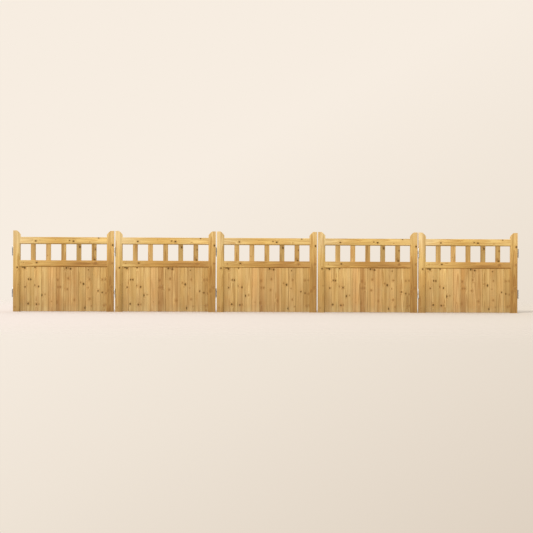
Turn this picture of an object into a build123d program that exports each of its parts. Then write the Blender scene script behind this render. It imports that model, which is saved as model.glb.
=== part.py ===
# Folding driveway gate: five framed and boarded timber leaves, hinged edge to edge between two posts.
# X runs along the gate, left to right as the street sees it. The street side is -Y, and +Z is up.
# The origin is under the middle of the gate, level with the stile feet and half way through the frame.
# All sizes are in millimetres.
import math
import os

from build123d import *

# Leaves
leaf_width = 1135.0
leaf_height = 915.0
frame_thickness = 45.0

# Frame of a leaf
stile_width = 82.0
horn_rise = 73.0  # stile above the top rail
horn_flat = 40.0  # level top of the horn, from the outer edge
horn_fall = 44.0  # height of the sloping shoulder
horn_bulge = 3.0  # how far the shoulder swells out of a straight slope
top_rail_height = 80.0
window_height = 182.0
middle_rail_height = 75.0
bottom_rail_height = 95.0
bottom_rail_rise = 30.0
edge_chamfer = 10.0  # on the street side, round the windows and the boards
arris = 2.0  # eased outer corners of the stiles

# Mortise and tenon joints
tenon_thickness = 15.0
ledge_tenon_thickness = 12.0
tenon_shoulder = 12.0  # rail left above and below a tenon
joint_clearance = 0.2

# Spindles between the windows
spindle_count = 5
spindle_width = 55.0
spindle_thickness = 21.0
spindle_housing = 12.0  # depth of each end in its rail

# Tongued, grooved and V-jointed boards
board_count = 12
board_thickness = 14.0
board_quirk = 1.0  # flat between the frame's chamfer and the boards
board_housing = 11.5  # depth of the boards in the stiles and in the middle rail
board_rise = 5.0  # foot of the boards above the foot of the stiles
board_gap = 0.8
board_chamfer = 3.0
tongue_length = 6.0
tongue_thickness = 4.0
end_clearance = 1.0  # room past the end of a housed piece

# Diagonal brace behind the boards
brace_width = 70.0

# Lift-off hinges: an eye plate turns on a pin that stands on the lug of a fixed plate
hinge_height = 100.0
hinge_drop = 30.0  # upper hinge below the top rail
hinge_lift = 40.0  # lower hinge above the bottom rail
eye_diameter = 14.0  # sets the gap between leaves
eye_standoff = 8.0  # hinge axis off the face of the leaf
lug_height = 35.0
lug_width = 11.0
bearing_gap = 0.5  # between the eye and the lug, and round the eye
plate_thickness = 3.0
plate_margin = 7.0  # plate short of the far face of the leaf
pin_diameter = 8.0
pin_clearance = 0.05
pin_rise = 3.0  # pin above the eye
screw_hole_diameter = 9.0
screw_hole_inset = 15.0  # hole centres in from the ends of a post plate

# Drop bolts on the back of the two meeting stiles
bolt_plate_width = 36.0
bolt_plate_height = 180.0
bolt_plate_thickness = 2.5
bolt_plate_rise = 20.0
bolt_rod_diameter = 10.0
bolt_rod_length = 265.0
bolt_rod_rise = 8.0  # tip of the raised rod above the stile foot
bolt_rod_clearance = 0.08
bolt_keep_height = 20.0
bolt_keep_wall = 2.0
bolt_knob_diameter = 9.0
bolt_knob_reach = 17.0
bolt_knob_room = 1.0  # knob of the raised rod below the upper keep

overcut = 1.0  # how far a cutting solid runs past the face it opens

# Levels of the frame
top_rail_top = leaf_height - horn_rise
top_rail_foot = top_rail_top - top_rail_height
middle_rail_top = top_rail_foot - window_height
middle_rail_foot = middle_rail_top - middle_rail_height
bottom_rail_top = bottom_rail_rise + bottom_rail_height
opening_width = leaf_width - 2 * stile_width

# Depths through the frame
front = -frame_thickness / 2
rear = frame_thickness / 2
board_front = front + edge_chamfer + board_quirk
board_rear = board_front + board_thickness
ledge_thickness = rear - board_rear

# Spacing along the gate
leaf_gap = eye_diameter
leaf_pitch = leaf_width + leaf_gap
spindle_pitch = (opening_width + spindle_width) / (spindle_count + 1)
board_pitch = (opening_width + 2 * board_housing) / board_count

# Each leaf, left to right: the edge it hangs from, the hinge at that edge and the hinge's face
leaf_rows = {
    "leaf1": ("left", "left_post_hinge", "back"),
    "leaf2": ("left", "leaf1_leaf2_hinge", "street"),
    "leaf3": ("left", "leaf2_leaf3_hinge", "back"),
    "leaf4": ("right", "leaf4_leaf5_hinge", "street"),
    "leaf5": ("right", "right_post_hinge", "back"),
}
post_hinges = ("left_post_hinge", "right_post_hinge")
bolted_leaves = ("leaf3", "leaf4")  # the two whose free edges meet


def leaf_x(index):
    return (index - (len(leaf_rows) - 1) / 2) * leaf_pitch


def write(part, name):
    part.label = name
    export_step(part, f"parts/{name}.step")


def place(piece, x):
    with BuildPart() as placed:
        with Locations((x, 0, 0)):
            add(piece)
    return placed.part


# Chamfer round a window opening: both sides and the top, ending square on the middle rail
with BuildPart() as window_chamfer:
    with BuildSketch(Plane.XZ.offset(-front - edge_chamfer)):
        with Locations((0, top_rail_foot)):
            Rectangle(opening_width, 2 * window_height, align=(Align.CENTER, Align.MAX))
    extrude(amount=edge_chamfer + overcut, taper=-45)
    split(bisect_by=Plane.XY.offset(middle_rail_top), keep=Keep.TOP)

# Chamfer round the boards: both sides and the top, running out at the stile feet
with BuildPart() as panel_chamfer:
    with BuildSketch(Plane.XZ.offset(-front - edge_chamfer)):
        with Locations((0, middle_rail_foot)):
            Rectangle(opening_width, 2 * middle_rail_foot, align=(Align.CENTER, Align.MAX))
    extrude(amount=edge_chamfer + overcut, taper=-45)


# Stile with its horn, through mortises and board groove; side is -1 for left and 1 for right
def stile(side):
    outer = side * leaf_width / 2
    inner = side * opening_width / 2
    slope_start = (outer - side * horn_flat, leaf_height)
    slope_end = (inner, leaf_height - horn_fall)
    groove_depth = board_housing + end_clearance
    groove_top = middle_rail_foot + groove_depth
    ledge_tenon_y = board_rear + ledge_tenon_thickness / 2
    with BuildPart() as body:
        with BuildSketch(Plane.XZ.offset(-front)):
            with BuildLine():
                Polyline(slope_end, (inner, 0), (outer, 0), (outer, leaf_height), slope_start)
                SagittaArc(slope_start, slope_end, -side * horn_bulge)
            make_face()
        extrude(amount=-frame_thickness)
        outer_edges = body.edges().filter_by(Axis.Z).sort_by(Axis.X)
        chamfer(outer_edges[:2] if side < 0 else outer_edges[-2:], arris)
        add(window_chamfer.part, mode=Mode.SUBTRACT)
        add(panel_chamfer.part, mode=Mode.SUBTRACT)
        with Locations((inner + side * groove_depth / 2, (board_front + board_rear) / 2, groove_top)):
            Box(
                groove_depth,
                board_thickness + 2 * joint_clearance,
                groove_top + overcut,
                align=(Align.CENTER, Align.CENTER, Align.MAX),
                mode=Mode.SUBTRACT,
            )
        for foot, height, y, thickness in (
            (top_rail_foot, top_rail_height, 0, tenon_thickness),
            (middle_rail_foot, middle_rail_height, 0, tenon_thickness),
            (bottom_rail_rise, bottom_rail_height, ledge_tenon_y, ledge_tenon_thickness),
        ):
            with Locations(((inner + outer) / 2, y, foot + height / 2)):
                Box(
                    stile_width + 2 * overcut,
                    thickness + 2 * joint_clearance,
                    height - 2 * tenon_shoulder + 2 * joint_clearance,
                    mode=Mode.SUBTRACT,
                )
    return body.part


# Top rail: through tenons, a chamfered lower edge and housings for the spindles
with BuildPart() as top_rail:
    with Locations((0, 0, top_rail_foot + top_rail_height / 2)):
        Box(opening_width, frame_thickness, top_rail_height)
        Box(leaf_width, tenon_thickness, top_rail_height - 2 * tenon_shoulder)
    add(window_chamfer.part, mode=Mode.SUBTRACT)
    with Locations((0, 0, top_rail_foot)):
        with GridLocations(spindle_pitch, 1, spindle_count, 1):
            Box(
                spindle_width + 2 * joint_clearance,
                spindle_thickness + 2 * joint_clearance,
                2 * (spindle_housing + end_clearance),
                mode=Mode.SUBTRACT,
            )

# Middle rail: through tenons, spindle housings above and the board groove below
with BuildPart() as middle_rail:
    with Locations((0, 0, middle_rail_foot + middle_rail_height / 2)):
        Box(opening_width, frame_thickness, middle_rail_height)
        Box(leaf_width, tenon_thickness, middle_rail_height - 2 * tenon_shoulder)
    add(panel_chamfer.part, mode=Mode.SUBTRACT)
    with Locations((0, 0, middle_rail_top)):
        with GridLocations(spindle_pitch, 1, spindle_count, 1):
            Box(
                spindle_width + 2 * joint_clearance,
                spindle_thickness + 2 * joint_clearance,
                2 * spindle_housing,
                mode=Mode.SUBTRACT,
            )
    with Locations((0, (board_front + board_rear) / 2, middle_rail_foot)):
        Box(
            opening_width,
            board_thickness + 2 * joint_clearance,
            2 * (board_housing + end_clearance),
            mode=Mode.SUBTRACT,
        )

# Bottom rail behind the boards, with barefaced through tenons
with BuildPart() as bottom_rail:
    with Locations((0, board_rear, bottom_rail_rise + bottom_rail_height / 2)):
        Box(
            opening_width,
            ledge_thickness,
            bottom_rail_height,
            align=(Align.CENTER, Align.MIN, Align.CENTER),
        )
        Box(
            leaf_width,
            ledge_tenon_thickness,
            bottom_rail_height - 2 * tenon_shoulder,
            align=(Align.CENTER, Align.MIN, Align.CENTER),
        )


# Brace cut to the corners, its foot at the hung edge of the leaf
def brace(hung_side):
    panel_height = middle_rail_foot - bottom_rail_top
    diagonal = math.hypot(opening_width, panel_height)
    slope = math.degrees(math.atan2(panel_height, opening_width))
    with BuildPart() as body:
        with BuildSketch(Plane.XZ.offset(-board_rear)):
            with Locations((0, (bottom_rail_top + middle_rail_foot) / 2)):
                Rectangle(diagonal, brace_width, rotation=-hung_side * slope)
                Rectangle(opening_width, panel_height, mode=Mode.INTERSECT)
        extrude(amount=-ledge_thickness)
    return body.part


# Flat spindles, standing in the middle rail and housed in the top rail
with BuildPart() as spindles:
    with BuildSketch(Plane.XY.offset(middle_rail_top - spindle_housing)):
        with GridLocations(spindle_pitch, 1, spindle_count, 1):
            Rectangle(spindle_width, spindle_thickness)
    extrude(amount=window_height + 2 * spindle_housing)

# Boards: each has a tongue on its right and a groove on its left, apart from the two outer edges
with BuildPart() as boards:
    board_face = board_pitch - board_gap
    board_y = (board_front + board_rear) / 2
    for index in range(board_count):
        board_x = (index - (board_count - 1) / 2) * board_pitch
        with BuildSketch(Plane.XY.offset(board_rise)) as board_section:
            with Locations((board_x, board_y)):
                Rectangle(board_face, board_thickness)
            chamfer(board_section.vertices().group_by(Axis.Y)[0], board_chamfer)
            if index < board_count - 1:
                with Locations((board_x + board_face / 2, board_y)):
                    Rectangle(2 * tongue_length, tongue_thickness)
            if index > 0:
                with Locations((board_x - board_face / 2, board_y)):
                    Rectangle(
                        2 * (tongue_length + joint_clearance),
                        tongue_thickness + 2 * joint_clearance,
                        mode=Mode.SUBTRACT,
                    )
        extrude(amount=middle_rail_foot + board_housing - board_rise)

# Heights and depths that the hinges share
hinge_feet = (bottom_rail_top + hinge_lift, top_rail_foot - hinge_drop - hinge_height)
hinge_axis_depth = rear + eye_standoff
eye_radius = eye_diameter / 2
eye_foot = lug_height + bearing_gap
plate_inner = eye_radius - plate_thickness
plate_near = eye_radius + bearing_gap
plate_far = frame_thickness + eye_standoff - plate_margin
screw_spacing = hinge_height - 2 * screw_hole_inset


# Fixed plates of a hinge, upper and lower, each with the lug that its pin stands on
def lug_plates(axis_x, face, side, drilled):
    axis_y = face * hinge_axis_depth
    plate_x = axis_x + side * (plate_inner + plate_thickness / 2)
    plate_y = axis_y - face * (plate_near + plate_far) / 2
    ear_y = axis_y + face * (lug_width / 2 - plate_near) / 2
    with BuildPart() as plates:
        for foot in hinge_feet:
            with BuildSketch(Plane.XY.offset(foot)):
                with Locations((plate_x, plate_y)):
                    Rectangle(plate_thickness, plate_far - plate_near)
            extrude(amount=hinge_height)
            with BuildSketch(Plane.XY.offset(foot)):
                with Locations((axis_x, axis_y)):
                    Rectangle(lug_width, lug_width)
                with Locations((plate_x, ear_y)):
                    Rectangle(plate_thickness, plate_near + lug_width / 2)
            extrude(amount=lug_height)
            if drilled:
                plate_face = (axis_x + side * plate_inner, plate_y, foot + hinge_height / 2)
                with Locations(Plane(origin=plate_face, x_dir=(0, 1, 0), z_dir=(-side, 0, 0))):
                    with GridLocations(1, screw_spacing, 1, 2):
                        Hole(screw_hole_diameter / 2, depth=plate_thickness)
    return plates.part


# Swinging plates of a hinge, upper and lower, each rolled into an eye above the lug
def eye_plates(axis_x, face, side):
    axis_y = face * hinge_axis_depth
    plate_x = axis_x + side * (plate_inner + plate_thickness / 2)
    plate_y = axis_y - face * (plate_near + plate_far) / 2
    ear_end = axis_y - face * plate_near
    outer_edge = axis_x + side * eye_radius
    inner_edge = axis_x + side * plate_inner
    tangent_point = (outer_edge, axis_y)
    far_point = (axis_x - side * eye_radius, axis_y)
    closing_point = (inner_edge, axis_y - face * math.sqrt(eye_radius**2 - plate_inner**2))
    with BuildPart() as plates:
        for foot in hinge_feet:
            with BuildSketch(Plane.XY.offset(foot)):
                with Locations((plate_x, plate_y)):
                    Rectangle(plate_thickness, plate_far - plate_near)
            extrude(amount=hinge_height)
            with BuildSketch(Plane.XY.offset(foot + eye_foot)):
                with BuildLine():
                    Polyline(tangent_point, (outer_edge, ear_end), (inner_edge, ear_end), closing_point)
                    ThreePointArc(closing_point, far_point, tangent_point)
                make_face()
                with Locations((axis_x, axis_y)):
                    Circle(pin_diameter / 2 + pin_clearance, mode=Mode.SUBTRACT)
            extrude(amount=hinge_height - eye_foot)
    return plates.part


# Pins standing on the upper and lower lugs of a hinge
def hinge_pins(axis_x, face):
    with BuildPart() as pins:
        for foot in hinge_feet:
            with Locations((axis_x, face * hinge_axis_depth, foot + lug_height)):
                Cylinder(
                    pin_diameter / 2,
                    hinge_height - lug_height + pin_rise,
                    align=(Align.CENTER, Align.CENTER, Align.MIN),
                )
    return pins.part


# Heights and depths that the drop bolts share
bolt_axis_depth = rear + bolt_plate_thickness + bolt_rod_clearance + bolt_rod_diameter / 2
bolt_bore_radius = bolt_rod_diameter / 2 + bolt_rod_clearance
bolt_keep_width = 2 * (bolt_bore_radius + bolt_keep_wall)
upper_keep_foot = bolt_plate_rise + bolt_plate_height - bolt_keep_height
knob_height = upper_keep_foot - bolt_knob_room - bolt_knob_diameter / 2


# Back plate of a drop bolt with its two keeps
def bolt_guide(x):
    with BuildPart() as guide:
        with Locations((x, rear, bolt_plate_rise)):
            Box(
                bolt_plate_width,
                bolt_plate_thickness,
                bolt_plate_height,
                align=(Align.CENTER, Align.MIN, Align.MIN),
            )
        for foot in (bolt_plate_rise, upper_keep_foot):
            with Locations((x, bolt_axis_depth, foot)):
                Box(
                    bolt_keep_width,
                    bolt_keep_width,
                    bolt_keep_height,
                    align=(Align.CENTER, Align.CENTER, Align.MIN),
                )
        with Locations((x, bolt_axis_depth, bolt_plate_rise - overcut)):
            Cylinder(
                bolt_bore_radius,
                bolt_plate_height + 2 * overcut,
                align=(Align.CENTER, Align.CENTER, Align.MIN),
                mode=Mode.SUBTRACT,
            )
    return guide.part


# Sliding rod of a drop bolt, raised, with its side knob
def bolt_rod(x, knob_side):
    with BuildPart() as rod:
        with Locations((x, bolt_axis_depth, bolt_rod_rise)):
            Cylinder(
                bolt_rod_diameter / 2,
                bolt_rod_length,
                align=(Align.CENTER, Align.CENTER, Align.MIN),
            )
        with Locations(Plane(origin=(x, bolt_axis_depth, knob_height), z_dir=(knob_side, 0, 0))):
            Cylinder(
                bolt_knob_diameter / 2,
                bolt_knob_reach,
                align=(Align.CENTER, Align.CENTER, Align.MIN),
            )
    return rod.part


os.makedirs("parts", exist_ok=True)

# Five leaves from one set of pieces
leaf_pieces = {
    "left_stile": stile(-1),
    "right_stile": stile(1),
    "top_rail": top_rail.part,
    "middle_rail": middle_rail.part,
    "bottom_rail": bottom_rail.part,
    "spindles": spindles.part,
    "boards": boards.part,
}
for leaf_index, (leaf_name, (hung_edge, hinge_name, hinge_face)) in enumerate(leaf_rows.items()):
    middle_x = leaf_x(leaf_index)
    hung_side = -1 if hung_edge == "left" else 1
    face = -1 if hinge_face == "street" else 1
    for piece_name, piece in leaf_pieces.items():
        write(place(piece, middle_x), f"{leaf_name}_{piece_name}")
    write(place(brace(hung_side), middle_x), f"{leaf_name}_brace")

    # The hinge in the gap at the hung edge: lugs and pins on the far side, eyes on the leaf
    axis_x = middle_x + hung_side * leaf_pitch / 2
    write(lug_plates(axis_x, face, hung_side, hinge_name in post_hinges), f"{hinge_name}_lug_plates")
    write(eye_plates(axis_x, face, -hung_side), f"{hinge_name}_eye_plates")
    write(hinge_pins(axis_x, face), f"{hinge_name}_pins")

    # Drop bolt on the free stile, with its knob away from the meeting gap
    if leaf_name in bolted_leaves:
        bolt_x = middle_x - hung_side * (leaf_width - stile_width) / 2
        write(bolt_guide(bolt_x), f"{leaf_name}_drop_bolt_guide")
        write(bolt_rod(bolt_x, hung_side), f"{leaf_name}_drop_bolt_rod")
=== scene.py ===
import math

import bmesh
import bpy
from mathutils import Matrix, Vector


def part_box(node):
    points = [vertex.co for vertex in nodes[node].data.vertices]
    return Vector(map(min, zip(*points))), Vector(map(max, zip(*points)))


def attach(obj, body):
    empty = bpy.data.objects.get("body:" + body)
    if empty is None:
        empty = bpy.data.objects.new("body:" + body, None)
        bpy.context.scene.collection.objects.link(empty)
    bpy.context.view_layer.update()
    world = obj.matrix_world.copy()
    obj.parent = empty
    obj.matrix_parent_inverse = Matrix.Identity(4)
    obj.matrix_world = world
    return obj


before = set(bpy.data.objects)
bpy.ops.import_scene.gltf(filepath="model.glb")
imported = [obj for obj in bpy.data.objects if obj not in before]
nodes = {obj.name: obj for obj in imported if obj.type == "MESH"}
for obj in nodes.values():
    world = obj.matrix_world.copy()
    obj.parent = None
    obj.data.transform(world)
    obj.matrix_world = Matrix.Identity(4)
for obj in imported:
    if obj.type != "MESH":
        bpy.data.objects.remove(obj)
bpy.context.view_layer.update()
leafNames = ["leaf1", "leaf2", "leaf3", "leaf4", "leaf5"]
leftRun = 3  # leaves that hang on the left post


def middle(node):
    low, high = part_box(node)
    return (low + high) / 2


# Sizes of the joinery that the looks follow, in metres
stileWidth = 0.082
spindleWidth = 0.055
boardHousing = 0.0115  # how far the boards run into each stile
leafMiddle = {leaf: middle(leaf + "_top_rail").x for leaf in leafNames}
leafPitch = leafMiddle["leaf2"] - leafMiddle["leaf1"]
leafLow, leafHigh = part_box("leaf3_top_rail")
leafWidth = leafHigh.x - leafLow.x
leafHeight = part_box("leaf3_left_stile")[1].z
openingWidth = leafWidth - 2 * stileWidth
print("gate loaded:", len(nodes), "pieces, leaf", round(leafWidth, 3), "by", round(leafHeight, 3))


def tone(red, green, blue):  # a colour as seen, 0 to 255, turned to linear light
    return tuple(((part / 255 + 0.055) / 1.055) ** 2.4 for part in (red, green, blue)) + (1.0,)


class Wire:  # one output socket, so that shader maths reads as plain sums
    def __init__(self, tree, socket=None):
        self.tree = tree
        self.socket = socket

    def add(self, kind, settings, sockets):  # any node: its settings first, then its sockets
        node = self.tree.nodes.new(kind)
        for key, value in settings.items():
            if key == "stops":
                ramp = node.color_ramp
                while len(ramp.elements) < len(value):
                    ramp.elements.new(1.0)
                for element, (position, colour) in zip(ramp.elements, value):
                    element.position = position
                    element.color = colour
            else:
                setattr(node, key, value)
        for key, value in sockets.items():
            if isinstance(value, Wire):
                self.tree.links.new(value.socket, node.inputs[key])
            else:
                node.inputs[key].default_value = value
        shown = [output for output in node.outputs if output.enabled]
        return Wire(self.tree, shown[0] if shown else None)

    def out(self, name):  # another output of the same node
        return Wire(self.tree, self.socket.node.outputs[name])

    def maths(self, operation, *terms):
        return self.add("ShaderNodeMath", {"operation": operation}, dict(enumerate(terms)))

    def __add__(self, other):
        return self.maths("ADD", self, other)

    def __radd__(self, other):
        return self.maths("ADD", other, self)

    def __sub__(self, other):
        return self.maths("SUBTRACT", self, other)

    def __rsub__(self, other):
        return self.maths("SUBTRACT", other, self)

    def __mul__(self, other):
        return self.maths("MULTIPLY", self, other)

    def __rmul__(self, other):
        return self.maths("MULTIPLY", other, self)

    def __truediv__(self, other):
        return self.maths("DIVIDE", self, other)

    def __rtruediv__(self, other):
        return self.maths("DIVIDE", other, self)

    def floor(self):
        return self.maths("FLOOR", self)

    def over(self, limit):  # 1 above the limit, else 0
        return self.maths("GREATER_THAN", self, limit)

    def step(self, low, high):  # eased from 0 at low to 1 at high
        sockets = {"Value": self, "From Min": low, "From Max": high}
        return self.add("ShaderNodeMapRange", {"interpolation_type": "SMOOTHSTEP"}, sockets)

    def vector(self, across, depth, along):
        return self.add("ShaderNodeCombineXYZ", {}, {0: across, 1: depth, 2: along})

    def axes(self):  # the three parts of a vector
        parts = self.add("ShaderNodeSeparateXYZ", {}, {0: self})
        return parts, parts.out("Y"), parts.out("Z")

    def noise(self, detail, roughness):  # the wire is the place it is read at
        sockets = {"Vector": self, "Scale": 1.0, "Detail": detail, "Roughness": roughness}
        return self.add("ShaderNodeTexNoise", {"noise_dimensions": "3D"}, sockets)

    def chance(self):  # a fixed random number for each value of the wire
        return self.add("ShaderNodeTexWhiteNoise", {"noise_dimensions": "1D"}, {"W": self})

    def ramp(self, stops):
        return self.add("ShaderNodeValToRGB", {"stops": stops}, {"Fac": self})

    def mixed(self, colour, amount, how="MIX"):  # the wire is a colour
        settings = {"data_type": "RGBA", "blend_type": how}
        return self.add("ShaderNodeMix", settings, {0: amount, 6: self, 7: colour})

    def seen(self):  # 1 for what the camera, metal and glass see
        rays = self.add("ShaderNodeLightPath", {}, {})
        either = self.maths("MAXIMUM", rays, rays.out("Is Glossy Ray"))
        return self.maths("MAXIMUM", either, rays.out("Is Transmission Ray"))


def newMaterial(name):
    material = bpy.data.materials.new(name)
    material.use_nodes = True
    material.node_tree.nodes.clear()
    return material, Wire(material.node_tree)


# Tones of the timber's early wood, from sapwood to the darkest heartwood
tones = {
    "cream": tone(234, 202, 147),
    "wheat": tone(226, 191, 127),
    "straw": tone(221, 184, 123),
    "honey": tone(216, 177, 117),
    "peach": tone(219, 175, 115),
    "tan": tone(212, 171, 110),
    "fawn": tone(205, 166, 104),
    "olive": tone(199, 160, 98),
    "rust": tone(195, 150, 91),
    "umber": tone(187, 148, 87),
    "moss": tone(185, 151, 93),
}

# What all the pine shares; lengths in metres, tints multiply the tone
pineLook = {
    "ringSpacing": 0.0045,
    "ringWander": 0.030,
    "ringTaper": 0.014,  # growth of the rings along the trunk
    "ringSeeds": 31,  # keeps the rings of one piece unlike those of the next
    "leafSeeds": 17,  # moves the grain on from leaf to leaf
    "pithLuck": 0.02,  # how much further off the pith may lie
    "lateWood": (0.79, 0.69, 0.53, 1),  # tint of the dark part of a ring
    "lateLeast": 0.30,  # the faintest ring, against the strongest
    "earlyWood": (1.06, 1.075, 1.02, 1),
    "streakDark": (0.83, 0.78, 0.70, 1),
    "streakPale": (1.12, 1.13, 1.14, 1),
    "blotchWarm": (1.0, 0.96, 0.90, 1),
    "fibreDark": (0.90, 0.87, 0.82, 1),
    "poreDark": (0.80, 0.72, 0.60, 1),  # fine resin streaks
    "resin": (0.74, 0.62, 0.46, 1),  # stain round a knot
    "resinStrength": 0.55,
    "endGrain": (0.72, 0.63, 0.50, 1),
    "soil": (0.86, 0.82, 0.77, 1),  # near the ground
    "soilTop": 0.10,
    "deadKnot": tone(82, 58, 14),
    "deadKnotHeart": tone(126, 92, 30),
    "deadKnotRings": (0.0, 0.4, 0.6, 0.85),
    "deadKnotWaver": 0.15,
    "liveKnot": tone(144, 103, 52),
    "liveKnotHeart": tone(168, 124, 68),
    "liveKnotRings": (0.0, 0.55, 0.8, 1.0),
    "liveKnotWaver": 0.2,  # of its rings, with the fibres
    "liveKnotStrength": 0.75,
    "knotRingScale": 0.9,
    "knotStretch": 0.78,  # under 1 draws a knot out along the grain
    "knotRagged": 0.0045,  # wander of a knot's outline
    "knotLean": 0.22,  # slant of a knot on its way through the timber
    "knotBow": 0.011,  # bend of the grain round a knot
    "knotBowEase": -0.22,  # nearer 0, the bend spreads further
    "liveKnotEase": 1.15,  # a live knot bends the grain less
    "knotLane": 0.3,  # keeps the knots of neighbouring pieces apart
    "shine": 0.28,
    "roughness": 0.56,
    "roughBy": {"fibre": 0.16, "late": -0.07, "knot": -0.12, "ends": 0.16},
    "relief": 0.0005,  # raised grain
    "reliefStrength": 0.55,
    "reliefBy": {"late": 0.55, "fibre": 0.45, "knot": 0.5},
}

# Patterns of the grain: waves to the metre across, through and along a piece, the jump to the next piece,
# and the noise's detail and roughness
grainWaves = {
    "ragged": (160, 40, 160, 3.1, 1.0, 0.5),
    "drift": (7, 7, 1.9, 3.7, 2.0, 0.5),
    "fibre": (520, 520, 11, 9, 3.0, 0.6),
    "streak": (42, 30, 1.5, 5.1, 2.0, 0.5),
    "blotch": (9, 9, 5, 2.3, 1.0, 0.5),
    "pores": (1700, 1700, 60, 7, 1.0, 0.5),
}

# Where each mark begins to show and where it shows in full
grainSteps = {
    "streakDark": (0.52, 0.30),
    "streakPale": (0.50, 0.72),
    "blotchWarm": (0.45, 0.65),
    "fibreDark": (0.50, 0.32),
    "poreDark": (0.62, 0.74),
    "soil": (0.30, 0.75),
    "lateRise": (0.25, 0.90),  # in shares of a ring
    "lateFall": (0.92, 1.0),
    "resin": (3.0, 0.8),  # in radii of the knot, as are the next four
    "deadKnot": (1.20, 0.80),
    "liveKnot": (1.15, 0.75),
    "rimRise": (0.8, 1.0),
    "rimFall": (1.2, 1.0),
    "ends": (0.45, 0.85),  # how squarely a face looks along the grain
}


def knotDistance(spot, look, centre, knots):  # distance to the nearest knot, in its own radii
    nearest = None
    for left, height, radius in knots:  # millimetres from the leaf's left edge and foot
        across = left / 1000 - leafWidth / 2 - centre.x
        rise = height / 1000 - centre.z
        piece = 0
        if look["along"] == "x":
            lane, along = rise, across + centre.x
        elif look["along"] == "slope":
            lane = rise * math.cos(look["slope"]) - across * math.sin(look["slope"])
            along = across * math.cos(look["slope"]) + rise * math.sin(look["slope"])
        else:
            piece = math.floor(across / look["pitch"] + look["count"] / 2)
            lane = across - (piece - (look["count"] - 1) / 2) * look["pitch"]
            along = height / 1000
        place = (lane + piece * pineLook["knotLane"], 0, along * pineLook["knotStretch"])
        gap = spot.add("ShaderNodeVectorMath", {"operation": "DISTANCE"}, {0: spot, 1: place})
        gap = gap * (1000 / radius)
        nearest = gap if nearest is None else gap.maths("MINIMUM", nearest, gap)
    return nearest


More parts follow.
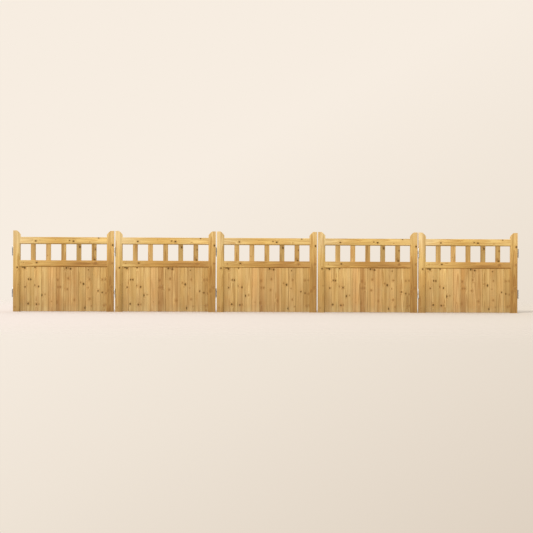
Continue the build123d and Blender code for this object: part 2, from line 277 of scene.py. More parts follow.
def pine(name, look):
    material, start = newMaterial(name)
    coords = start.add("ShaderNodeTexCoord", {}, {})
    x, y, z = coords.out("Object").axes()
    facing = coords.out("Normal").axes()
    centre = middle(look["node"])
    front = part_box(look["node"])[0].y
    leaf = (x / leafPitch + len(leafNames) / 2).floor()
    across = x - (leaf - len(leafNames) // 2) * leafPitch  # from the middle of the leaf

    # Turn the leaf's directions into the piece's own: width, y and length
    piece = 0.0
    if look["along"] == "x":
        width, length, endFacing = z - centre.z, across, facing[0]
    elif look["along"] == "slope":
        rise = (z - centre.z) * (1 - 2 * leaf.over(leftRun - 0.5))  # it leans the other way on the right
        width = rise * math.cos(look["slope"]) - across * math.sin(look["slope"])
        length = across * math.cos(look["slope"]) + rise * math.sin(look["slope"])
        endFacing = facing[0]
    else:
        width, length, endFacing = across - centre.x, z, facing[2]
        if look["count"] > 1:
            piece = (width / look["pitch"] + look["count"] / 2).floor()
            width = width - (piece - (look["count"] - 1) / 2) * look["pitch"]
    seed = leaf * pineLook["leafSeeds"] + piece + look["seed"]
    luck = start.add("ShaderNodeSeparateColor", {}, {0: seed.chance().out("Color")})

    def pattern(kind):
        wide, deep, long, jump, detail, roughness = grainWaves[kind]
        return start.vector(width * wide + seed * jump, y * deep, length * long).noise(detail, roughness)

    def showing(kind, wire):
        return wire.step(*grainSteps[kind])

    # Knots, with the grain bowed round them
    wide, deep, long, jump, detail, roughness = grainWaves["ragged"]
    ragged = start.vector(width * wide, y * deep + piece * jump, length * long).noise(detail, roughness)
    shift = (ragged - 0.5) * pineLook["knotRagged"]
    lean = (y - front) * pineLook["knotLean"]
    lane = width + piece * pineLook["knotLane"] + lean + shift
    spot = start.vector(lane, 0.0, length * pineLook["knotStretch"] + shift)
    dead = knotDistance(spot, look, centre, look["deadKnots"])
    live = knotDistance(spot, look, centre, look["liveKnots"])
    nearKnot = dead.maths("MINIMUM", dead, live * pineLook["liveKnotEase"])
    bow = start.maths("EXPONENT", nearKnot * nearKnot * pineLook["knotBowEase"]) * pineLook["knotBow"]

    # Growth rings round a pith that lies beside the piece
    wander = (pattern("drift") - 0.5) * pineLook["ringWander"]
    side = width - (luck - 0.5) * look["pithSide"] + wander
    inward = y - look["pithDepth"] - luck.out("Green") * pineLook["pithLuck"]
    radius = start.maths("SQRT", side * side + inward * inward) + length * pineLook["ringTaper"] + bow
    rings = radius / pineLook["ringSpacing"]
    band = rings.maths("FRACT", rings)
    ringLuck = (rings.floor() + seed * pineLook["ringSeeds"]).chance()
    least = pineLook["lateLeast"]
    late = showing("lateRise", band) * (1 - showing("lateFall", band)) * (least + (1 - least) * ringLuck)

    # The tone of the timber, across or up the leaf
    if look["tonesAlong"] == "x":
        share = across / leafWidth + 0.5
        colour = share.ramp(look["tones"])
        if "rightTones" in look:  # a ramp holds no more than half a leaf of boards
            colour = colour.mixed(share.ramp(look["rightTones"]), share.over(0.5))
        for end in ("head", "foot"):
            if end + "Shades" in look:
                there = z.step(*look[end + "From"])
                colour = colour.mixed(share.ramp(look[end + "Shades"]), there, "MULTIPLY")
    else:
        colour = (z / leafHeight).ramp(look["tones"])
    # painted light and shade: lighter or darker by height up the leaf, as light falls from above
    if "shades" in look:  # up the leaf
        colour = colour.mixed((z / leafHeight).ramp(look["shades"]), 1.0, "MULTIPLY")
    # painted shade: darker bands along a stile near its inner edge, where the frame meets windows and boards
    if "edgeShades" in look:  # across it
        colour = colour.mixed((across / leafWidth + 0.5).ramp(look["edgeShades"]), 1.0, "MULTIPLY")

    # Fibres, streaks and rings over it, and the resin stain round knots
    fibre = pattern("fibre")
    streak = pattern("streak")
    blotch = pattern("blotch")
    for tint, amount in (
        ("streakDark", showing("streakDark", streak)),
        ("streakPale", showing("streakPale", streak)),
        ("blotchWarm", showing("blotchWarm", blotch)),
        ("earlyWood", 1 - late),
        ("lateWood", late),
        ("fibreDark", showing("fibreDark", fibre)),
        ("poreDark", showing("poreDark", pattern("pores"))),
        ("resin", showing("resin", nearKnot) * pineLook["resinStrength"]),
    ):
        colour = colour.mixed(pineLook[tint], amount, "MULTIPLY")

    # The knots themselves, ringed dark and pale
    def knotRings(kind, distance):
        turns = (pineLook[kind + "Heart"], pineLook[kind]) * 2
        place = distance * pineLook["knotRingScale"] + fibre * pineLook[kind + "Waver"]
        return place.ramp(list(zip(pineLook[kind + "Rings"], turns)))

    deadMask = showing("deadKnot", dead)
    liveMask = showing("liveKnot", live) * pineLook["liveKnotStrength"]
    colour = colour.mixed(knotRings("liveKnot", live), liveMask)
    colour = colour.mixed(knotRings("deadKnot", dead), deadMask)
    ends = showing("ends", endFacing.maths("ABSOLUTE", endFacing))
    colour = colour.mixed(pineLook["endGrain"], ends * look["endShade"], "MULTIPLY")
    soil = z.step(pineLook["soilTop"], 0.0) * showing("soil", blotch)
    colour = colour.mixed(pineLook["soil"], soil, "MULTIPLY")

    by = pineLook["roughBy"]
    rough = pineLook["roughness"] + (fibre - 0.5) * by["fibre"] + late * by["late"]
    rough = rough + deadMask * by["knot"] + ends * by["ends"]
    by = pineLook["reliefBy"]
    knotRim = showing("rimRise", dead) * showing("rimFall", dead)
    height = late * by["late"] + fibre * by["fibre"] + deadMask * by["knot"] - knotRim
    relief = {"Strength": pineLook["reliefStrength"], "Distance": pineLook["relief"], "Height": height}
    finish = {
        "Base Color": colour,
        "Roughness": rough,
        "Specular IOR Level": pineLook["shine"],
        "Normal": start.add("ShaderNodeBump", {}, relief),
    }
    shader = start.add("ShaderNodeBsdfPrincipled", {}, finish)
    start.add("ShaderNodeOutputMaterial", {}, {"Surface": shader})
    return material


def dress(pieceName, material):  # the same piece on all five leaves
    for leafName in leafNames:
        nodes[leafName + "_" + pieceName].data.materials.clear()
        nodes[leafName + "_" + pieceName].data.materials.append(material)


# Left stile: lighter towards the horn and browner towards the foot, painted light from above, and lighter
# overall than the right stile, painted light from the left
leftStileLook = {
    "node": "leaf3_left_stile", "along": "z", "pitch": 1.0, "count": 1, "seed": 3.0,
    "pithSide": 0.06, "pithDepth": 0.050, "endShade": 0.5, "tonesAlong": "z",
    # painted light and shade: the tones grow lighter up the stile
    "tones": [
        (0.02, tone(184, 146, 89)), (0.25, tone(198, 158, 95)), (0.46, tone(212, 171, 105)),
        (0.66, tone(225, 188, 120)), (0.86, tones["cream"]),
    ],
    # painted shade: a darker band beside the inner chamfer
    "edgeShades": [
        (0.044, (1, 1, 1, 1)), (0.051, (0.84, 0.82, 0.74, 1)),
        (0.064, (0.84, 0.82, 0.74, 1)), (0.067, (0.95, 0.95, 0.93, 1)),
    ],
    "deadKnots": [(46, 498, 8)],
    "liveKnots": [(24, 52, 6), (59, 305, 4)],
}
dress("left_stile", pine("pineLeftStile", leftStileLook))

# Right stile: the same timber, darker than the left stile as painted shade away from the light on the left
rightStileLook = {
    "node": "leaf3_right_stile", "along": "z", "pitch": 1.0, "count": 1, "seed": 5.0,
    "pithSide": 0.06, "pithDepth": 0.055, "endShade": 0.5, "tonesAlong": "z",
    # painted light and shade: the tones grow lighter up the stile
    "tones": [
        (0.02, tone(174, 133, 75)), (0.38, tone(181, 138, 77)), (0.52, tone(186, 143, 80)),
        (0.64, tone(206, 162, 95)), (0.84, tone(222, 181, 112)), (0.96, tone(228, 190, 127)),
    ],
    # painted shade: a darker band a little way in from the inner edge
    "edgeShades": [
        (0.936, (1, 1, 1, 1)), (0.940, (0.92, 0.91, 0.85, 1)),
        (0.957, (0.92, 0.91, 0.85, 1)), (0.965, (1, 1, 1, 1)),
    ],
    "deadKnots": [(1119, 754, 9)],
    "liveKnots": [(1115, 549, 9), (1107, 279, 9), (1072, 241, 8)],
}
dress("right_stile", pine("pineRightStile", rightStileLook))

# Top rail: the palest timber of a leaf, paler still as painted light from above, since it lies highest
topRailLook = {
    "node": "leaf3_top_rail", "along": "x", "seed": 7.0,
    "pithSide": 0.05, "pithDepth": 0.070, "endShade": 0.5, "tonesAlong": "x",
    "tones": [
        (0.06, tone(236, 206, 152)), (0.28, tone(226, 188, 119)), (0.46, tone(222, 182, 107)),
        (0.68, tone(228, 191, 121)), (0.90, tone(232, 196, 128)),
    ],
    "deadKnots": [(253, 797, 8), (678, 796, 9), (635, 804, 6), (962, 833, 6)],
    "liveKnots": [(476, 814, 3), (862, 788, 5)],
}
dress("top_rail", pine("pineTopRail", topRailLook))

# Middle rail: turns redder from left to right
middleRailLook = {
    "node": "leaf3_middle_rail", "along": "x", "seed": 9.0,
    "pithSide": 0.05, "pithDepth": 0.060, "endShade": 0.5, "tonesAlong": "x",
    "tones": [
        (0.08, tone(216, 179, 113)), (0.30, tone(210, 167, 98)), (0.46, tone(197, 153, 85)),
        (0.64, tone(179, 133, 72)), (0.90, tone(193, 148, 85)),
    ],
    # painted light: the lower edge, whose chamfer faces down into shade, and the strip just above it are
    # lightened
    "shades": [
        (0.555, (1.17, 1.16, 1.12, 1)), (0.572, (1.03, 1.03, 1.02, 1)), (0.592, (1, 1, 1, 1)),
    ],
    "headShades": [
        (0.45, (1, 1, 1, 1)), (0.62, (1.20, 1.25, 1.28, 1)),
        (0.78, (1.20, 1.25, 1.28, 1)), (0.87, (1.04, 1.06, 1.08, 1)),
    ],
    "headFrom": (0.544, 0.560),  # metres up, from none to full
    "deadKnots": [(265, 553, 8)],
    "liveKnots": [(118, 549, 5), (926, 547, 10)],
}
dress("middle_rail", pine("pineMiddleRail", middleRailLook))

# Bottom rail, behind the boards
bottomRailLook = {
    "node": "leaf3_bottom_rail", "along": "x", "seed": 11.0,
    "pithSide": 0.07, "pithDepth": 0.075, "endShade": 0.5, "tonesAlong": "x",
    "tones": [(0.1, tones["honey"]), (0.4, tones["tan"]), (0.6, tones["honey"]), (0.9, tones["peach"])],
    "deadKnots": [(210, 72, 9), (831, 98, 8)],
    "liveKnots": [(451, 90, 11), (993, 66, 9)],
}
dress("bottom_rail", pine("pineBottomRail", bottomRailLook))

# Brace: its grain follows the slope
braceLow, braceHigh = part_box("leaf1_brace")
braceLook = {
    "node": "leaf3_brace", "along": "slope", "seed": 13.0,
    "slope": math.atan2(braceHigh.z - braceLow.z, braceHigh.x - braceLow.x),
    "pithSide": 0.06, "pithDepth": 0.070, "endShade": 0.4, "tonesAlong": "x",
    "tones": [(0.1, tones["straw"]), (0.5, tones["honey"]), (0.9, tones["tan"])],
    "deadKnots": [(567, 335, 8)],
    "liveKnots": [(575, 126, 9), (560, 563, 10)],
}
dress("brace", pine("pineBrace", braceLook))

# Spindles: five sticks of mixed tints, each with a tone at its left and right edge, all set darker as
# painted shade of their recess between the rails
spindleTones = [
    ("fawn", "umber"), ("tan", "fawn"), ("umber", "olive"), ("moss", "moss"), ("umber", "umber"),
]
spindleStep = (openingWidth + spindleWidth) / (len(spindleTones) + 1)
spindleHalf = (len(spindleTones) - 1) / 2  # steps from the first spindle to the middle one
spindleEdge = 0.02  # where the edge's tone is reached, either side of the heart


def spindlePlace(index, side):  # how far a spindle's edge is across the leaf
    return 0.5 + ((index - spindleHalf) * spindleStep + side * spindleEdge) / leafWidth


spindleLook = {
    "node": "leaf3_spindles", "along": "z", "pitch": spindleStep, "count": len(spindleTones), "seed": 15.0,
    "pithSide": 0.05, "pithDepth": 0.045, "endShade": 0.5, "tonesAlong": "x",
    "tones": [
        (spindlePlace(index, side), tones[names[side > 0]])
        for index, names in enumerate(spindleTones)
        for side in (-1, 1)
    ],
    "deadKnots": [(750, 732, 10), (916, 589, 9), (925, 706, 6)],
    "liveKnots": [(742, 748, 9), (387, 633, 4), (904, 609, 9)],
}
dress("spindles", pine("pineSpindles", spindleLook))

# Boards: twelve tongued and grooved boards, each with a tone at its left edge, heart and right edge,
# and a shade at its head and foot
boardShades = {
    "dim": (0.86, 0.85, 0.83, 1), "soft": (0.93, 0.90, 0.88, 1),
    "plain": (1, 1, 1, 1), "pale": (1.08, 1.09, 1.10, 1),
}
# the first board's umber left edge is painted shadow of the left stile
boardTones = [
    ("umber", "fawn", "honey", "pale", "soft"), ("straw", "olive", "wheat", "plain", "plain"),
    ("straw", "tan", "wheat", "pale", "soft"), ("honey", "straw", "tan", "plain", "plain"),
    ("peach", "peach", "honey", "plain", "plain"), ("rust", "rust", "straw", "plain", "soft"),
    ("tan", "tan", "peach", "dim", "plain"), ("honey", "rust", "honey", "plain", "pale"),
    ("fawn", "fawn", "straw", "plain", "plain"), ("tan", "tan", "fawn", "dim", "plain"),
    ("fawn", "tan", "straw", "plain", "plain"), ("fawn", "olive", "olive", "pale", "plain"),
]
boardStep = (openingWidth + 2 * boardHousing) / len(boardTones)
boardHalf = (len(boardTones) - 1) / 2  # steps from the first board to the middle of the leaf
boardEdge = 0.040  # where the edge's tone is reached, either side of the heart


def boardPlace(index, lane):  # how far a board's edge or heart is across the leaf
    return 0.5 + ((index - boardHalf) * boardStep + lane * boardEdge) / leafWidth


def boardEnds(column):  # the shade of each board's head or foot
    return [
        (boardPlace(index, lane), boardShades[names[column]])
        for index, names in enumerate(boardTones)
        for lane in (-1, 1)
    ]


boardStops = [
    (boardPlace(index, lane), tones[names[lane + 1]])
    for index, names in enumerate(boardTones)
    for lane in (-1, 0, 1)
]
halfStops = len(boardStops) // 2
boardLook = {
    "node": "leaf3_boards", "along": "z", "pitch": boardStep, "count": len(boardTones), "seed": 20.0,
    "pithSide": 0.10, "pithDepth": 0.035, "endShade": 0.5,
    "tonesAlong": "x", "tones": boardStops[:halfStops], "rightTones": boardStops[halfStops:],
    "headShades": boardEnds(3), "headFrom": (0.28, 0.44),
    "footShades": boardEnds(4), "footFrom": (0.26, 0.12),
    # painted shade: the boards darken from head towards foot and lie in the shade of their recess; the
    # lowest few centimetres turn paler and less saturated
    "shades": [
        (0.02, (0.88, 0.93, 1.05, 1)), (0.045, (0.87, 0.92, 1.02, 1)), (0.085, (0.84, 0.84, 0.85, 1)),
        (0.13, (0.86, 0.86, 0.87, 1)), (0.31, (0.93, 0.93, 0.93, 1)),
        (0.46, (0.99, 0.99, 0.98, 1)), (0.56, (1.01, 1.01, 0.99, 1)),
    ],
    "deadKnots": [
        (132, 494, 10), (118, 502, 8), (247, 502, 8), (599, 494, 9), (643, 485, 8), (199, 364, 8),
        (174, 365, 7), (135, 278, 7), (286, 283, 8), (322, 187, 10), (792, 314, 10), (956, 236, 7),
        (1003, 219, 7), (170, 90, 9), (263, 83, 8), (813, 45, 11), (103, 500, 6), (849, 474, 5),
    ],
    "liveKnots": [
        (622, 492, 8), (655, 484, 6), (242, 297, 8), (501, 358, 10), (620, 376, 10), (506, 278, 9),
        (533, 278, 9), (360, 195, 7), (611, 254, 10), (759, 330, 8), (860, 367, 8), (843, 272, 6),
        (1003, 364, 9), (1040, 366, 8), (1044, 211, 8), (291, 85, 7), (491, 106, 10), (690, 132, 10),
        (858, 145, 9), (882, 65, 6), (1024, 72, 8), (1049, 81, 8), (434, 114, 4),
    ],
}
dress("boards", pine("pineBoards", boardLook))
print("timber dressed")


# What all the steel shares
steelLook = {
    "clouding": (0.80, 0.79, 0.77, 1), "cloudScale": 60.0, "cloudDetail": 3.0,
    "cloudFrom": (0.45, 0.70), "cloudRough": 0.25,
    "brush": (1500, 60),  # drawing lines to the metre across and along
    "brushDetail": (2.0, 0.5), "brushShare": 0.5,  # of the relief; the rest is clouding
    "relief": 0.0002, "reliefStrength": 0.25,
}


def steel(name, look):
    material, start = newMaterial(name)
    place = start.add("ShaderNodeTexCoord", {}, {}).out("Object")
    x, y, z = place.axes()
    flakes = {"Vector": place, "Scale": look["spangle"]}
    spangle = start.add("ShaderNodeTexVoronoi", {"feature": "F1"}, flakes)
    flake = start.add("ShaderNodeSeparateColor", {}, {0: spangle.out("Color")})
    clouds = {"Vector": place, "Scale": steelLook["cloudScale"], "Detail": steelLook["cloudDetail"]}
    cloud = start.add("ShaderNodeTexNoise", {}, clouds)
    fine, coarse = steelLook["brush"]
    line = start.vector(x * fine, y * fine, z * coarse).noise(*steelLook["brushDetail"])
    colour = flake.ramp([(0.0, look["dark"]), (1.0, look["pale"])])
    colour = colour.mixed(steelLook["clouding"], cloud.step(*steelLook["cloudFrom"]), "MULTIPLY")
    uneven = (flake - 0.5) * look["uneven"] + (cloud - 0.5) * steelLook["cloudRough"]
    height = line * steelLook["brushShare"] + cloud * (1 - steelLook["brushShare"])
    relief = {"Strength": steelLook["reliefStrength"], "Distance": steelLook["relief"], "Height": height}
    finish = {
        "Base Color": colour,
        "Metallic": 1.0,
        "Roughness": look["roughness"] + uneven,
        "Normal": start.add("ShaderNodeBump", {}, relief),
    }
    shader = start.add("ShaderNodeBsdfPrincipled", {}, finish)
    start.add("ShaderNodeOutputMaterial", {}, {"Surface": shader})
    return material


# Hinges: dull galvanised steel with a faint spangle
hingeLook = {
    "spangle": 220.0, "uneven": 0.18, "roughness": 0.44,
    "dark": (0.58, 0.59, 0.60, 1), "pale": (0.78, 0.79, 0.79, 1),
}
hingeSteel = steel("galvanisedSteel", hingeLook)

# Bolts, pins and screws: brighter zinc plate
zincLook = {
    "spangle": 900.0, "uneven": 0.08, "roughness": 0.33,
    "dark": (0.66, 0.66, 0.66, 1), "pale": (0.76, 0.76, 0.75, 1),
}
zincSteel = steel("zincPlate", zincLook)

# Board nails: weathered, darker and duller than the rest
nailLook = {
    "spangle": 900.0, "uneven": 0.08, "roughness": 0.60,
    "dark": (0.30, 0.28, 0.25, 1), "pale": (0.40, 0.37, 0.33, 1),
}
nailSteel = steel("weatheredNail", nailLook)


def isSteel(nodeName):
    return "_hinge_" in nodeName or "_drop_bolt_" in nodeName


for nodeName, node in nodes.items():
    if isSteel(nodeName):
        node.data.materials.clear()
        plate = nodeName.endswith("_plates") or nodeName.endswith("_guide")
        node.data.materials.append(hingeSteel if plate else zincSteel)
print("steel dressed")

# Eased corners, in metres
easing = {"timber": 0.0012, "steel": 0.0004, "weld": 0.00001, "segments": 2, "sharpest": 25}


def soften(node, width):
    weld = node.modifiers.new("weld", "WELD")
    weld.merge_threshold = easing["weld"]
    bevel = node.modifiers.new("easedCorners", "BEVEL")
    bevel.width = width
    bevel.segments = easing["segments"]
    bevel.limit_method = "ANGLE"
    bevel.angle_limit = math.radians(easing["sharpest"])
    bevel.harden_normals = True
    bevel.use_clamp_overlap = True


for nodeName, node in nodes.items():
    if not nodeName.endswith("_post_hinge_lug_plates"):  # these bear flat on the posts
        soften(node, easing["steel"] if isSteel(nodeName) else easing["timber"])
print("corners eased")

# Heads of the fixings, with shares of a head's radius and rise
headSink = 0.0005  # metres that a screw or nail head is let into what it holds
headSharpest = 35  # degrees; shaded smooth below
screwProfile = {"sides": 24, "brow": (0.97, 0.45), "crown": 0.72, "pit": (0.8, 0.25)}
nailProfile = {"sides": 16, "rows": [(0.94, 0.7), (0.70, 1.0), (0.30, 0.9)]}


def circle(bm, radius, height, sides):
    turns = [2 * math.pi * k / sides for k in range(sides)]
    return [bm.verts.new((radius * math.cos(t), radius * math.sin(t), height)) for t in turns]


def skirt(bm, low, high):  # a ring of faces between two loops
    for k in range(len(low)):
        following = (k + 1) % len(low)
        bm.faces.new((low[k], low[following], high[following], high[k]))


def loopEdges(bm, loop):
    return [bm.edges.get((loop[k - 1], loop[k])) for k in range(len(loop))]


def finished(bm, name):
    bmesh.ops.recalc_face_normals(bm, faces=bm.faces)
    mesh = bpy.data.meshes.new(name)
    bm.to_mesh(mesh)
    bm.free()
    return mesh


def crossHead(look):  # a screw head with a cross recess, its rim at z = 0
    bm = bmesh.new()
    radius, rise = look["radius"], look["rise"]
    browShare, browRise = screwProfile["brow"]
    pitShare, pitRise = screwProfile["pit"]
    foot = circle(bm, radius, -headSink, screwProfile["sides"])
    brow = circle(bm, radius * browShare, rise * browRise, screwProfile["sides"])
    crown = circle(bm, radius * screwProfile["crown"], rise, screwProfile["sides"])
    arms = []
    long, wide = look["armLength"], look["armWidth"]
    for quarter in range(4):
        spin = Matrix.Rotation(quarter * math.pi / 2, 3, "Z")
        for x, y in ((long, -wide), (long, wide), (wide, wide)):
            arms.append(spin @ Vector((x, y, 0)))
    lip = [bm.verts.new((p.x, p.y, rise)) for p in arms]
    pit = [bm.verts.new((p.x * pitShare, p.y * pitShare, rise * pitRise)) for p in arms]
    skirt(bm, foot, brow)
    skirt(bm, brow, crown)
    skirt(bm, pit, lip)
    bm.faces.new(pit)
    bm.faces.new(foot)
    rim = loopEdges(bm, crown) + loopEdges(bm, lip)
    bmesh.ops.triangle_fill(bm, use_beauty=True, edges=rim)
    return finished(bm, "crossHead")


def nailHead(look):  # a low round head with a flat top
    bm = bmesh.new()
    radius, rise = look["radius"], look["rise"]
    loops = [circle(bm, radius, -headSink, nailProfile["sides"])]
    for share, riseShare in nailProfile["rows"]:
        loops.append(circle(bm, radius * share, rise * riseShare, nailProfile["sides"]))
    for low, high in zip(loops, loops[1:]):
        skirt(bm, low, high)
    bm.faces.new(loops[-1])
    bm.faces.new(loops[0])
    return finished(bm, "nailHead")


def wedgeEnd(look):  # the tapered end of a wedge, pointing along z out of the tenon
    bm = bmesh.new()
    bmesh.ops.create_cube(bm, size=1.0)
    for v in bm.verts:
        outer = v.co.z > 0
        v.co.x *= look["width"]
        v.co.y *= look["thick"] if outer else look["thick"] * look["taper"]
        v.co.z = look["proud"] if outer else -look["depth"]
    bmesh.ops.bevel(bm, geom=bm.edges[:], offset=look["ease"], segments=1, affect="EDGES")
    return finished(bm, "wedgeEnd")


def scatter(name, shape, spots, material, body, smooth):  # one object from many copies of a shape
    bm = bmesh.new()
    for spot in spots:
        before = len(bm.verts)
        bm.from_mesh(shape)
        bm.verts.ensure_lookup_table()
        bmesh.ops.transform(bm, matrix=spot, verts=bm.verts[before:])
    mesh = bpy.data.meshes.new(name)
    bm.to_mesh(mesh)
    bm.free()
    if smooth:
        mesh.shade_smooth()
        mesh.set_sharp_from_angle(angle=math.radians(headSharpest))
    made = bpy.data.objects.new(name, mesh)
    bpy.context.scene.collection.objects.link(made)
    made.data.materials.append(material)
    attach(made, body)


def facingTo(direction, place, spin=0.0):  # a place whose z axis points that way
    turn = Vector((0, 0, 1)).rotation_difference(Vector(direction)).to_matrix().to_4x4()
    return Matrix.Translation(place) @ turn @ Matrix.Rotation(spin, 4, "Z")


# Screws of the hinge plates: three in each plate that is on a leaf
hingeScrews = {
    "radius": 0.0042, "rise": 0.0008, "armLength": 0.0023, "armWidth": 0.00055,
    "heights": [0.018, 0.050, 0.082], "reaches": [0.018, 0.036, 0.018],  # up the plate, and off the axis
    "plateHeight": 0.100, "plateFace": 0.004, "turns": (37, 11),  # radians to the metre, so no two lie alike
}
hingeSides = {  # the leaf that carries each hinge, the leaf that swings on it, and the side it swings from
    "left_post_hinge": (None, "leaf1", 1), "leaf1_leaf2_hinge": ("leaf1", "leaf2", 1),
    "leaf2_leaf3_hinge": ("leaf2", "leaf3", 1), "leaf4_leaf5_hinge": ("leaf5", "leaf4", -1),
    "right_post_hinge": (None, "leaf5", -1),
}
hingeScrewShape = crossHead(hingeScrews)
for hingeName, (carrier, swinger, side) in hingeSides.items():
    axis = middle(hingeName + "_pins")
    for owner, kind, out in ((carrier, "lug_plates", -side), (swinger, "eye_plates", side)):
        if owner is None:
            continue
        plateName = hingeName + "_" + kind
        plateLow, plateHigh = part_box(plateName)
        spots = []
        for foot in (plateLow.z, plateHigh.z - hingeScrews["plateHeight"]):
            for height, reach in zip(hingeScrews["heights"], hingeScrews["reaches"]):
                y = axis.y - math.copysign(reach, axis.y)
                where = (axis.x + out * hingeScrews["plateFace"], y, foot + height)
                spin = height * hingeScrews["turns"][0] + foot * hingeScrews["turns"][1]
                spots.append(facingTo((-out, 0, 0), where, spin))
        scatter(plateName + "_screws", hingeScrewShape, spots, zincSteel, owner, True)

# Screws of the drop bolts, beside the keeps
boltScrews = {
    "radius": 0.0038, "rise": 0.0016, "armLength": 0.0021, "armWidth": 0.0005,
    "side": 0.0125, "inset": 0.010, "plateThick": 0.0025, "turns": 23,
}
boltScrewShape = crossHead(boltScrews)
for leafName in ("leaf3", "leaf4"):
    plateLow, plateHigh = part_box(leafName + "_drop_bolt_guide")
    plateMiddle = (plateLow.x + plateHigh.x) / 2
    spots = []
    for side in (-1, 1):
        for z in (plateLow.z + boltScrews["inset"], plateHigh.z - boltScrews["inset"]):
            where = (plateMiddle + side * boltScrews["side"], plateLow.y + boltScrews["plateThick"], z)
            spots.append(facingTo((0, 1, 0), where, z * boltScrews["turns"] + side))
    scatter(leafName + "_drop_bolt_screws", boltScrewShape, spots, zincSteel, leafName, True)

# Nails through the boards: two into the bottom rail and one into the brace, none quite in line
boardNails = {
    "radius": 0.0021, "rise": 0.0003, "spread": 0.021, "railWander": 0.004, "braceWander": 0.003,
    "railWaves": 2.7, "braceWaves": 1.9,  # radians of the wander from board to board
}
nailShape = nailHead(boardNails)
for leafName in leafNames:
    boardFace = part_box(leafName + "_boards")[0].y
    railMiddle = middle(leafName + "_bottom_rail").z
    braceFoot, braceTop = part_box(leafName + "_brace")
    lean = (braceTop.z - braceFoot.z) / (braceTop.x - braceFoot.x)
    lean = lean if leafName in leafNames[:leftRun] else -lean
    spots = []
    for index in range(len(boardTones)):
        x = leafMiddle[leafName] + (index - boardHalf) * boardStep
        for side in (-1, 1):
            up = railMiddle + boardNails["railWander"] * math.sin(index * boardNails["railWaves"] + side)
            spots.append(facingTo((0, -1, 0), (x + side * boardNails["spread"], boardFace, up)))
        up = (braceFoot.z + braceTop.z) / 2 + lean * (x - leafMiddle[leafName])
        left = x + boardNails["braceWander"] * math.sin(index * boardNails["braceWaves"])
        spots.append(facingTo((0, -1, 0), (left, boardFace, up)))
    scatter(leafName + "_board_nails", nailShape, spots, nailSteel, leafName, True)

# Wedges in the ends of the through tenons, two to a tenon
tenonWedges = {
    "width": 0.0118, "thick": 0.0042, "depth": 0.012, "taper": 0.55, "proud": 0.00025, "ease": 0.0002,
    "inset": 0.0075,  # from the tenon's edge
    "shoulder": 0.012, "ledgeTenon": 0.012,  # rail above and below a tenon, and the bottom rail's tenon
}
wedgeLook = {
    "node": "leaf3_middle_rail", "along": "x", "seed": 41.0,
    "pithSide": 0.08, "pithDepth": 0.060, "endShade": 0.8,
    "tonesAlong": "z", "tones": [(0.0, tones["rust"]), (1.0, tones["tan"])],
    "deadKnots": [(567, 305, 2)], "liveKnots": [(567, 404, 2)],  # well away from the wedges, which are clear
}
wedgePine = pine("pineWedges", wedgeLook)
wedgeShape = wedgeEnd(tenonWedges)
wedgeMargin = tenonWedges["shoulder"] + tenonWedges["inset"]
for leafName in leafNames:
    spots = []
    for railName in ("top_rail", "middle_rail", "bottom_rail"):
        railLow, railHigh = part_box(leafName + "_" + railName)
        y = railLow.y + tenonWedges["ledgeTenon"] / 2 if railName == "bottom_rail" else 0.0
        for end, x in ((-1, railLow.x), (1, railHigh.x)):
            for z in (railLow.z + wedgeMargin, railHigh.z - wedgeMargin):
                # a wedge's width runs along y and its thickness along z
                spots.append(Matrix(((0, 0, end, x), (1, 0, 0, y), (0, 1, 0, z), (0, 0, 0, 1))))
    scatter(leafName + "_tenon_wedges", wedgeShape, spots, wedgePine, leafName, False)
print("fixings made")

# Floor: a pale disc that fades into the backdrop, darker to the right as painted shade, duller for the light
# that it throws back
floorLook = {
    "radius": 9.0, "sides": 96, "fadeFrom": 3.6, "fadeTo": 8.55, "bounce": tone(150, 143, 134),
    "left": tone(223, 211, 202), "right": tone(210, 199, 185), "turn": 3.0,  # metres either side
}
floorMesh = bpy.data.meshes.new("studioFloor")
bm = bmesh.new()
bmesh.ops.create_circle(bm, cap_ends=True, segments=floorLook["sides"], radius=floorLook["radius"])
bm.to_mesh(floorMesh)
bm.free()
floor = bpy.data.objects.new("studioFloor", floorMesh)
bpy.context.scene.collection.objects.link(floor)
floorMaterial, start = newMaterial("paleFloor")
place = start.add("ShaderNodeTexCoord", {}, {}).out("Object")
reach = start.add("ShaderNodeVectorMath", {"operation": "LENGTH"}, {0: place})
across = place.axes()[0] / (2 * floorLook["turn"]) + 0.5
pale = across.ramp([(0.0, floorLook["left"]), (1.0, floorLook["right"])])
pale = start.add("ShaderNodeBsdfDiffuse", {}, {"Color": pale})
dull = start.add("ShaderNodeBsdfDiffuse", {}, {"Color": floorLook["bounce"]})
diffuse = start.add("ShaderNodeMixShader", {}, {0: start.seen(), 1: dull, 2: pale})
clear = start.add("ShaderNodeBsdfTransparent", {}, {})
fade = reach.step(floorLook["fadeFrom"], floorLook["fadeTo"])
shader = start.add("ShaderNodeMixShader", {}, {0: fade, 1: diffuse, 2: clear})
start.add("ShaderNodeOutputMaterial", {}, {"Surface": shader})
floorMesh.materials.append(floorMaterial)
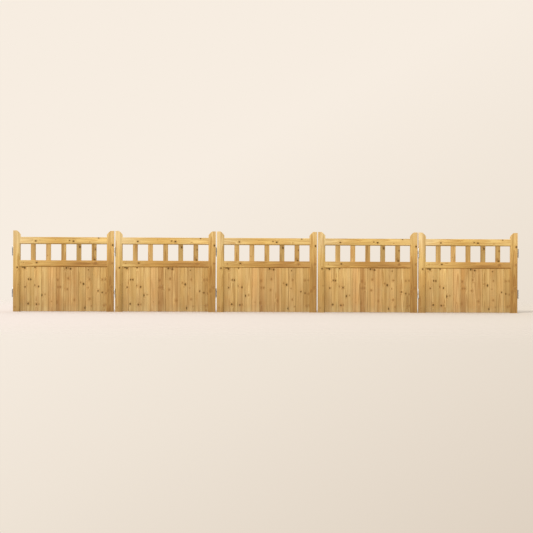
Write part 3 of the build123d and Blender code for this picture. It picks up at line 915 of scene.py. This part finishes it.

# Backdrop: a cream studio wall all round, darkening towards the lower right as painted shade, and plain
# white light from it
backdropLook = {
    "wall": [(0.0, tone(222, 209, 193)), (0.38, tone(238, 227, 213)), (0.68, tone(247, 237, 225))],
    "lean": -0.55, "spread": 2.2, "shift": 0.57,  # it cools towards the lower right
    "lightAbove": (0.80, 0.80, 0.80, 1), "lightBelow": (0.30, 0.30, 0.30, 1), "lightTurn": (-0.6, 0.8),
}
world = bpy.data.worlds.new("creamStudio")
bpy.context.scene.world = world
world.use_nodes = True
world.node_tree.nodes.clear()
start = Wire(world.node_tree)
way = start.add("ShaderNodeTexCoord", {}, {}).out("Generated").axes()
slant = (way[0] * backdropLook["lean"] + way[2]) * backdropLook["spread"] + backdropLook["shift"]
wall = slant.ramp(backdropLook["wall"])
height = way[2].step(*backdropLook["lightTurn"])
glow = height.ramp([(0.0, backdropLook["lightBelow"]), (1.0, backdropLook["lightAbove"])])
lit = start.add("ShaderNodeBackground", {}, {"Color": glow, "Strength": 1.0})
shown = start.add("ShaderNodeBackground", {}, {"Color": wall, "Strength": 1.0})
shader = start.add("ShaderNodeMixShader", {}, {0: start.seen(), 1: lit, 2: shown})
start.add("ShaderNodeOutputWorld", {}, {"Surface": shader})

# Light: one broad soft key from the upper left, in front, and a weak fill on the back
lampLook = {
    "softKey": {"direction": (0.44, 0.71, -0.55), "strength": 2.27, "softness": 24.0},
    "backFill": {"direction": (-0.35, -0.80, -0.48), "strength": 0.9, "softness": 60.0},
}
for lampName, look in lampLook.items():
    lamp = bpy.data.lights.new(lampName, "SUN")
    lamp.energy = look["strength"]
    lamp.angle = math.radians(look["softness"])
    made = bpy.data.objects.new(lampName, lamp)
    made.rotation_euler = Vector(look["direction"]).to_track_quat("-Z", "Y").to_euler()
    bpy.context.scene.collection.objects.link(made)
print("studio lit")

# Camera: square on to the gate, a long lens a little to the left
cameraLook = {
    "distance": 20.0, "swing": 2.58, "roll": 0.254, "aim": (-0.004, 0.0, 0.52), "width": 6.055,
    "sensor": 36.0, "sight": 200.0,
}
lens = bpy.data.cameras.new("gateCamera")
lens.sensor_fit = "HORIZONTAL"
lens.sensor_width = cameraLook["sensor"]
lens.lens = lens.sensor_width * cameraLook["distance"] / cameraLook["width"]
lens.clip_end = cameraLook["sight"]
camera = bpy.data.objects.new("gateCamera", lens)
swing = math.radians(cameraLook["swing"])
aim = Vector(cameraLook["aim"])
camera.location = aim + Vector((-math.sin(swing), -math.cos(swing), 0)) * cameraLook["distance"]
level = (aim - camera.location).to_track_quat("-Z", "Y").to_matrix()
camera.rotation_euler = (level @ Matrix.Rotation(math.radians(cameraLook["roll"]), 3, "Z")).to_euler()
bpy.context.scene.collection.objects.link(camera)
bpy.context.scene.camera = camera
bpy.context.scene.view_settings.view_transform = "Standard"

print("gate ready")
